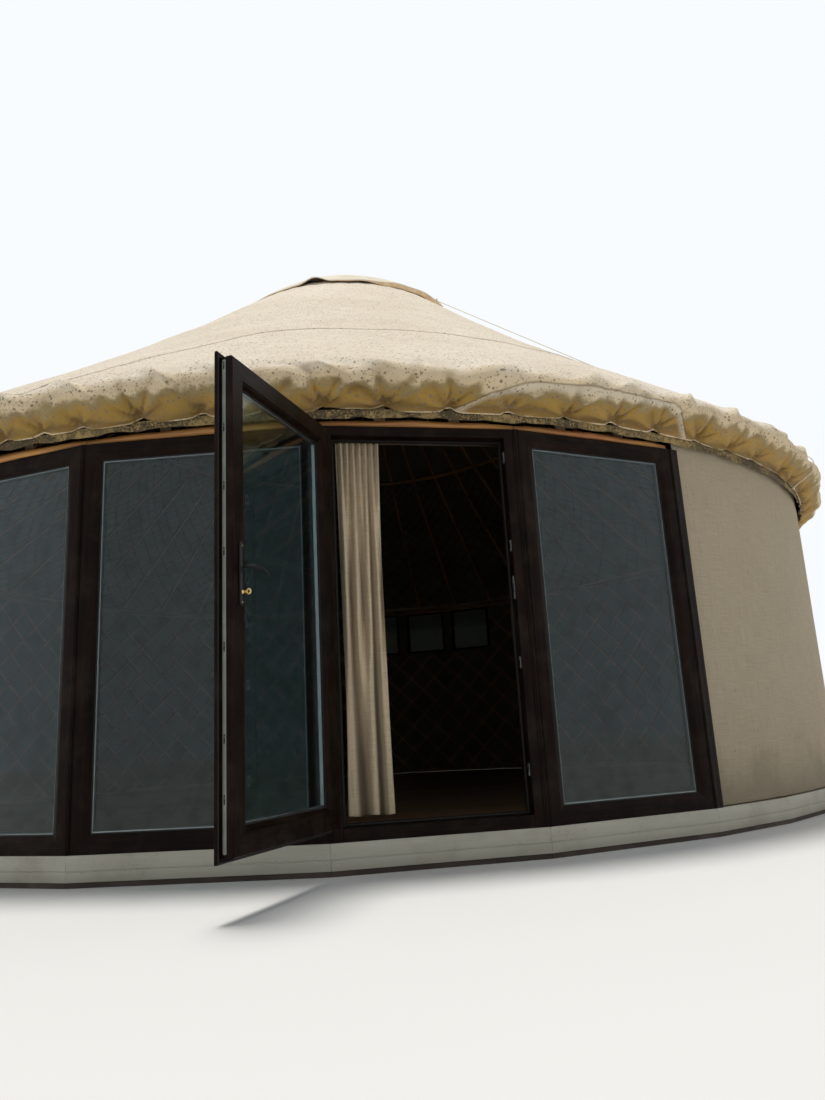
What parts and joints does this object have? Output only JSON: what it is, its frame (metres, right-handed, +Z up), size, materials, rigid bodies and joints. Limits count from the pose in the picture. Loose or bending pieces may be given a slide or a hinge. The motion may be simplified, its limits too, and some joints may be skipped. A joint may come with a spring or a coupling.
{
  "type": "yurt with a glazed front",
  "caption": "Round yurt on a timber deck: canvas walls and cone roof over laths and poles, tall fixed windows and a hinged glazed door in front.",
  "frame": {"origin": "centre of the plan on the ground, on the underside of the middle floor joist", "axes": "+Z up; -Y is the way the door looks; +X is to the right of the door seen from outside"},
  "size_m": [8.909, 9.5721, 5.2111],
  "materials": {
    "dark_timber": "rough",
    "joist_timber": "sawn",
    "floor_boards": "worn",
    "pale_boards": "weathered paint",
    "brown_frame": "dark wood-grain film",
    "metal": "satin",
    "handle_metal": "worn satin",
    "glass": "clear",
    "cane": "weathered",
    "lath": "oiled",
    "canvas": "speckled with mildew",
    "curtain_cloth": "linen",
    "rope": "laid"
  },
  "bodies": {
    "yurt": {"base_strip": "dark_timber", "floor_joists": "joist_timber", "floor_deck": "floor_boards", "plinth_boards": "pale_boards", "door_frame": "brown_frame", "strike_plates": "metal", "frame_hinges": "brown_frame", "window_frames_left": "brown_frame", "window_frame_right": "brown_frame", "window_glass": "glass", "corner_posts": "brown_frame", "lintel_poles": "cane", "front_struts": "lath", "wall_canvas_1": "canvas", "wall_canvas_2": "canvas", "wall_canvas_3": "canvas", "wall_canvas_4": "canvas", "wall_lattice_1": "lath", "wall_lattice_2": "lath", "wall_lattice_3": "lath", "wall_lattice_4": "lath", "back_window_frames": "brown_frame", "back_window_glass": "glass", "eave_ring": "lath", "roof_poles_front": "lath", "roof_poles_right": "lath", "roof_poles_back": "lath", "roof_poles_left": "lath", "roof_canvas_front": "canvas", "roof_canvas_right": "canvas", "roof_canvas_back": "canvas", "roof_canvas_left": "canvas", "roof_valance": "canvas", "crown_ring": "lath", "crown_bars": "lath", "crown_cover": "canvas", "cover_ropes": "rope", "curtain_rail": "metal", "curtain": "curtain_cloth"},
    "door_leaf": {"leaf_frame": "brown_frame", "leaf_glass": "glass", "lock_strip": "metal", "handle_plates": "handle_metal", "leaf_hinges": "brown_frame"},
    "lever": {"handle_lever": "handle_metal"}
  },
  "joints": [
    {"name": "door_hinge", "type": "hinge", "parent": "yurt", "child": "door_leaf", "pos_m": [-0.513, -4.25969, 1.2795], "axis": [0, 0, 1], "range_deg": [-40, 120]},
    {"name": "lever_turn", "type": "hinge", "parent": "door_leaf", "child": "lever", "pos_m": [-0.9615, -5.03651, 1.253], "axis": [-0.866, 0.5, 0], "range_deg": [0, 35]}
  ]
}
